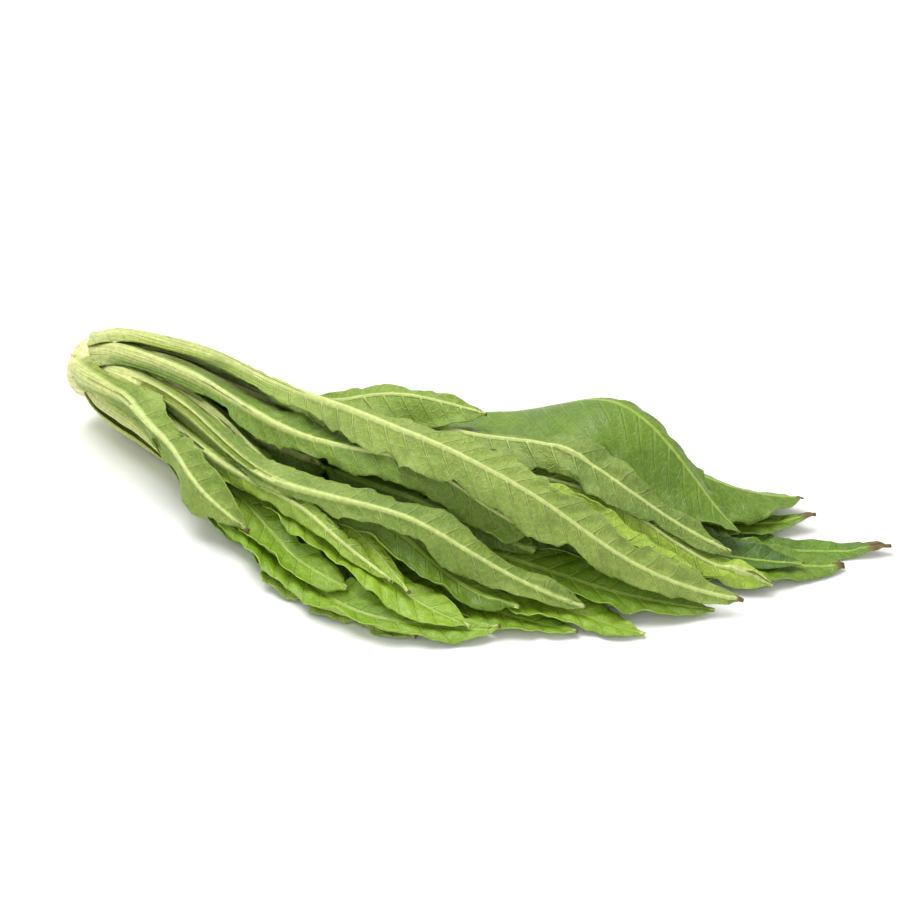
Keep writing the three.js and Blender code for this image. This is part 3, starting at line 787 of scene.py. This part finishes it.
def leaf_skin(name, colours, roughness, vein_share, net_share, vein_way, relief):
    """One side of a leaf: cream at the base, then green, with paler veins and dried brown ends."""
    stalk, blade, deep, bright, vein = (from_screen(*colour) for colour in colours)
    material, tree, shader = new_material(name)
    masks = place_node(tree, "ShaderNodeGroup", node_tree=VEINS).outputs
    leaf = place_node(tree, "ShaderNodeAttribute", attribute_name="leaf").outputs["Vector"]
    tone = place_node(tree, "ShaderNodeAttribute", attribute_name="tone").outputs["Fac"]
    fresh = place_node(tree, "ShaderNodeAttribute", attribute_name="fresh").outputs["Fac"]
    share, edge, dried = place_node(tree, "ShaderNodeSeparateXYZ", {"Vector": leaf}).outputs
    place = place_node(tree, "ShaderNodeTexCoord").outputs["Object"]
    mottle = noise(tree, place, 45.0, 4.0)
    grain = noise(tree, place, 420.0, 4.0, 0.65)

    # from the stalk's yellow green to the blade's, deeper or brighter by leaf and in patches
    greener = sum_of(tree, "MULTIPLY_ADD", mottle, 0.16, share)
    colour = blend_colours(tree, ramp(tree, greener, 0.18, 0.50), stalk, blade)
    depth = sum_of(tree, "MULTIPLY_ADD", tone, 0.5, sum_of(tree, "MULTIPLY", mottle, 0.7))
    colour = blend_colours(tree, ramp(tree, depth, 0.25, 0.75), colour, deep)
    fresh_share = sum_of(tree, "MULTIPLY", fresh, ramp(tree, mottle, 0.25, 0.6, 0.55, 1.0))
    colour = blend_colours(tree, fresh_share, colour, bright)

    # net, side veins, a stalk's lines and the midrib
    for mask, strength, over in (
        ("Net", net_share, vein),
        ("Side veins", vein_share, vein),
        ("Stalk lines", 0.6, deep),
        ("Midrib", 0.92, blend_colours(tree, ramp(tree, share, 0.0, 0.5), RIB_AT_BASE, vein)),
    ):
        drawn = sum_of(tree, "MULTIPLY", masks[mask], strength)
        colour = blend_colours(tree, drawn, colour, over)

    # a cream base, a thin pale margin, specks and dried ends
    from_base = sum_of(tree, "MULTIPLY_ADD", mottle, 0.05, share)
    colour = blend_colours(tree, ramp(tree, from_base, 0.03, 0.15, 0.85, 0.0), colour, CREAM_BASE)
    colour = blend_colours(tree, ramp(tree, edge, 0.965, 1.0, 0.0, 0.18), colour, PALE_MARGIN)
    speck = ramp(tree, grain, 0.35, 0.7, 0.86, 1.1)
    inputs = {0: speck, 1: speck, 2: speck}
    specks = place_node(tree, "ShaderNodeCombineColor", inputs).outputs[0]
    colour = blend_colours(tree, 1.0, colour, specks, "MULTIPLY")
    brown = blend_colours(tree, grain, DRIED_DARK, DRIED_PALE)
    colour = blend_colours(tree, ramp(tree, dried, 0.25, 0.8), colour, brown)
    tree.links.new(colour, shader.inputs["Base Color"])

    rough = ramp(tree, mottle, 0.3, 0.7, roughness - 0.06, roughness + 0.08)
    rough = sum_of(tree, "MAXIMUM", rough, sum_of(tree, "MULTIPLY", dried, 0.85))
    tree.links.new(rough, shader.inputs["Roughness"])
    height = sum_of(tree, "MULTIPLY", masks["Height"], vein_way)
    height = sum_of(tree, "MULTIPLY_ADD", grain, 0.35, height)
    inputs = {"Height": height, "Strength": 1.0, "Distance": relief}
    bump = place_node(tree, "ShaderNodeBump", inputs)
    tree.links.new(bump.outputs[0], shader.inputs["Normal"])
    shader.inputs["Subsurface Weight"].default_value = 0.12
    shader.inputs["Subsurface Radius"].default_value = (0.3, 1.0, 0.1)
    shader.inputs["Subsurface Scale"].default_value = 0.0015
    return material


# colours of stalk, blade, deep blade, bright blade and vein; the veins sink in the face
FACE = leaf_skin(
    "leaf_face",
    ((152, 178, 54), (100, 142, 26), (54, 92, 6), (160, 194, 42), (150, 178, 66)),
    roughness=0.42,
    vein_share=0.20,
    net_share=0.12,
    vein_way=-1.0,
    relief=0.0004,
)
BACK = leaf_skin(
    "leaf_back",
    ((188, 204, 82), (144, 166, 68), (80, 114, 26), (162, 194, 50), (198, 211, 126)),
    roughness=0.52,
    vein_share=0.15,
    net_share=0.10,
    vein_way=1.0,
    relief=0.0006,
)

# how each leaf looks, where it differs from a plain one
PLAIN = {
    "teeth": 1.0,
    "torn": 0.6,
    "pleat": 1.0,
    "frill": 1.0,
    "rolled": 0.3,
    "keel": 0.4,
    "twist": 2.0,  # past the tip, so that it doesn't turn over
    "skirt": 0.0,  # extra width on the near side
    "brim": 0.0,  # and on the far side, which a leaf that turns over changes past its twist
    "blunt": 0.25,
    "crumple": 1.0,
    "hook": 0.0,
    "hook_from": 0.93,
    "sink": 0.0,
    "dry": 0.00001,  # length of the dried end, here none
    "worn": 0.3,
}
LOOKS = {
    "leaf_crest": {
        "blunt": 0.0,
        "tone": 0.12,
        "fresh": 0.0,
        "pleat": 1.6,
        "rolled": 0.0,
        "crumple": 0.3,
        "dry": 0.004,
    },
    "leaf_near_short": {"tone": 0.1, "fresh": 0.1, "dry": 0.003, "hook": -0.004, "torn": 1.2},
    "leaf_far_arched": {"tone": 1.0, "fresh": 0.3, "twist": 0.42, "torn": 0.1, "skirt": -0.2, "brim": 0.5},
    "leaf_near_broad": {"tone": 0.75, "fresh": 0.25, "rolled": 0.5, "torn": 1.0},
    "leaf_near_ribbed": {"tone": 0.35, "fresh": 0.1, "rolled": 0.4, "keel": 0.6},
    "leaf_near_bent": {"tone": 0.1, "twist": 0.56, "fresh": 0.3, "torn": 1.2},
    "leaf_far_ribbed": {"tone": 0.3, "fresh": 0.0, "rolled": 0.1},
    "leaf_far_folded": {"tone": 0.5, "sink": 0.003, "skirt": 0.45, "brim": -0.35},
    "leaf_upright": {"tone": 0.3, "fresh": 0.8, "keel": 1.0, "rolled": 0.6},
    "leaf_far_upright": {"tone": 0.0, "fresh": 0.9, "keel": 0.8},
    "leaf_near_inner": {"tone": 0.7, "fresh": 0.3, "rolled": 0.7, "torn": 1.2, "twist": 0.5},
    "leaf_near_narrow": {"fresh": 0.6, "rolled": 0.5, "torn": 1.4},
    "leaf_small_near": {"tone": 0.0, "fresh": 1.0, "keel": 0.8, "twist": 0.45},
    "leaf_heart": {"tone": 0.7, "fresh": 0.2, "twist": 0.5, "torn": 1.3},
    "leaf_under_far_long": {"tone": 0.3, "dry": 0.014, "hook": 0.003, "frill": 0.5, "blunt": 0.2},
    "leaf_under_far": {"tone": 0.5, "dry": 0.005, "blunt": 0.9},
    "leaf_under_far_outer": {"tone": 0.6, "dry": 0.009, "hook": 0.005, "blunt": 0.2},
    "leaf_far_inner": {"tone": 0.8, "dry": 0.004, "twist": 0.5, "brim": 0.3, "blunt": 0.9},
    "leaf_under_middle": {"tone": 0.2, "fresh": 0.6},
    "leaf_under_near_outer": {"tone": 0.0, "fresh": 0.35, "torn": 1.2},
    "leaf_under_near": {"tone": 0.0, "fresh": 0.5, "torn": 1.2},
    "leaf_under_near_inner": {"tone": 0.2, "fresh": 0.5, "torn": 1.2},
    "leaf_under_inner": {"tone": 0.2, "fresh": 0.7, "torn": 1.0},
    "leaf_under_pale": {"tone": 0.5, "fresh": 0.0},
    "leaf_under_small": {"tone": 0.7},
    "leaf_under_tip": {"tone": 0.4, "fresh": 0.3},
    "leaf_under_far_inner": {"tone": 1.0, "skirt": 0.5},
    "leaf_under_far_edge": {"tone": 0.8},
}

# from the table upwards: the under leaves from the outermost in, then the over leaves
# from the inmost out
UNDER = [
    "leaf_under_far_long",
    "leaf_under_near_outer",
    "leaf_under_far_outer",
    "leaf_near_bent",
    "leaf_under_middle",
    "leaf_under_far_edge",
    "leaf_under_near",
    "leaf_under_far",
    "leaf_under_tip",
    "leaf_under_far_inner",
    "leaf_under_near_inner",
    "leaf_under_pale",
    "leaf_under_inner",
    "leaf_under_small",
]
OVER = [
    "leaf_heart",
    "leaf_far_inner",
    "leaf_small_near",
    "leaf_far_upright",
    "leaf_near_inner",
    "leaf_far_arched",
    "leaf_near_narrow",
    "leaf_upright",
    "leaf_near_ribbed",
    "leaf_far_ribbed",
    "leaf_near_broad",
    "leaf_far_folded",
    "leaf_near_short",
    "leaf_crest",
]

FULL_THICKNESS = 0.004  # what a weight of 1 stands for in the wall's modifier


def make_leaf(node, place, table):
    """One leaf: its sheet, its measures as attributes, a wall of its own thickness and its skins."""
    drawn = {
        "tone": 0.3 + 0.3 * float(wander(place * 1.7, 51)),
        "fresh": 0.25 + 0.25 * float(wander(place * 1.3, 52)),
    }
    look = {**PLAIN, **drawn, **LOOKS[node], "over": node in OVER}
    details = fine_leaf(node, place, look, table)
    sheet, i, j = leaf_sheet(details, look["over"])
    name = node.replace("leaf_", "", 1) + "_leaf"
    piece = piece_from(name, sheet, [FACE, BACK], node)
    for attribute in ("veins", "leaf"):
        layer = piece.data.attributes.new(attribute, "FLOAT_VECTOR", "POINT")
        layer.data.foreach_set("vector", details[attribute][i, j].ravel())
    for attribute in ("tone", "fresh"):
        layer = piece.data.attributes.new(attribute, "FLOAT", "POINT")
        layer.data.foreach_set("value", details[attribute][i, j])
    group = piece.vertex_groups.new(name="wall")
    weights = np.round(np.clip(details["wall"][i, j] / FULL_THICKNESS, 0, 1), 3)
    for weight in np.unique(weights):
        group.add([int(n) for n in np.nonzero(weights == weight)[0]], float(weight), "REPLACE")
    wall = piece.modifiers.new("wall", "SOLIDIFY")
    wall.thickness = FULL_THICKNESS
    wall.vertex_group = "wall"
    wall.offset = -1.0
    wall.material_offset = 1
    wall.material_offset_rim = 1
    wall.use_rim = True


laid = Table()
for place, node in enumerate(UNDER + OVER):
    make_leaf(node, place, laid)


# The table is a plain pale sheet, and the light is a soft studio's: a bright room, a large lamp
# above and to the left, and a weaker one from the right.
floor = bmesh.new()
bmesh.ops.create_grid(floor, x_segments=1, y_segments=1, size=3.0)
floor_mesh = bpy.data.meshes.new("floor")
floor.to_mesh(floor_mesh)
floor.free()
paper, paper_tree, paper_shader = new_material("white_paper")
paper_place = place_node(paper_tree, "ShaderNodeTexCoord").outputs["Object"]
paper_grain = noise(paper_tree, paper_place, 900.0)
paper_tree.links.new(
    blend_colours(paper_tree, paper_grain, (0.90, 0.90, 0.89, 1), (0.93, 0.93, 0.92, 1)),
    paper_shader.inputs["Base Color"],
)
paper_shader.inputs["Roughness"].default_value = 0.8
floor_mesh.materials.append(paper)
floor_piece = bpy.data.objects.new("floor", floor_mesh)
bpy.context.scene.collection.objects.link(floor_piece)


def lamp(name, place, power, size):
    """A square soft lamp that looks at the middle of the head."""
    light = bpy.data.lights.new(name, "AREA")
    light.energy = power
    light.size = size
    made = bpy.data.objects.new(name, light)
    made.location = place
    made.rotation_euler = (-Vector(place)).to_track_quat("-Z", "Y").to_euler()
    bpy.context.scene.collection.objects.link(made)


lamp("key_lamp", (-0.34, 0.05, 1.05), 12.0, 0.8)
lamp("fill_lamp", (0.7, -0.9, 0.6), 2.0, 0.9)
room = bpy.data.worlds.new("room")
room.use_nodes = True
backdrop = room.node_tree.nodes["Background"]
backdrop.inputs["Color"].default_value = (1.0, 1.0, 1.0, 1.0)
backdrop.inputs["Strength"].default_value = 0.7
bpy.context.scene.world = room
bpy.context.scene.view_settings.view_transform = "Standard"
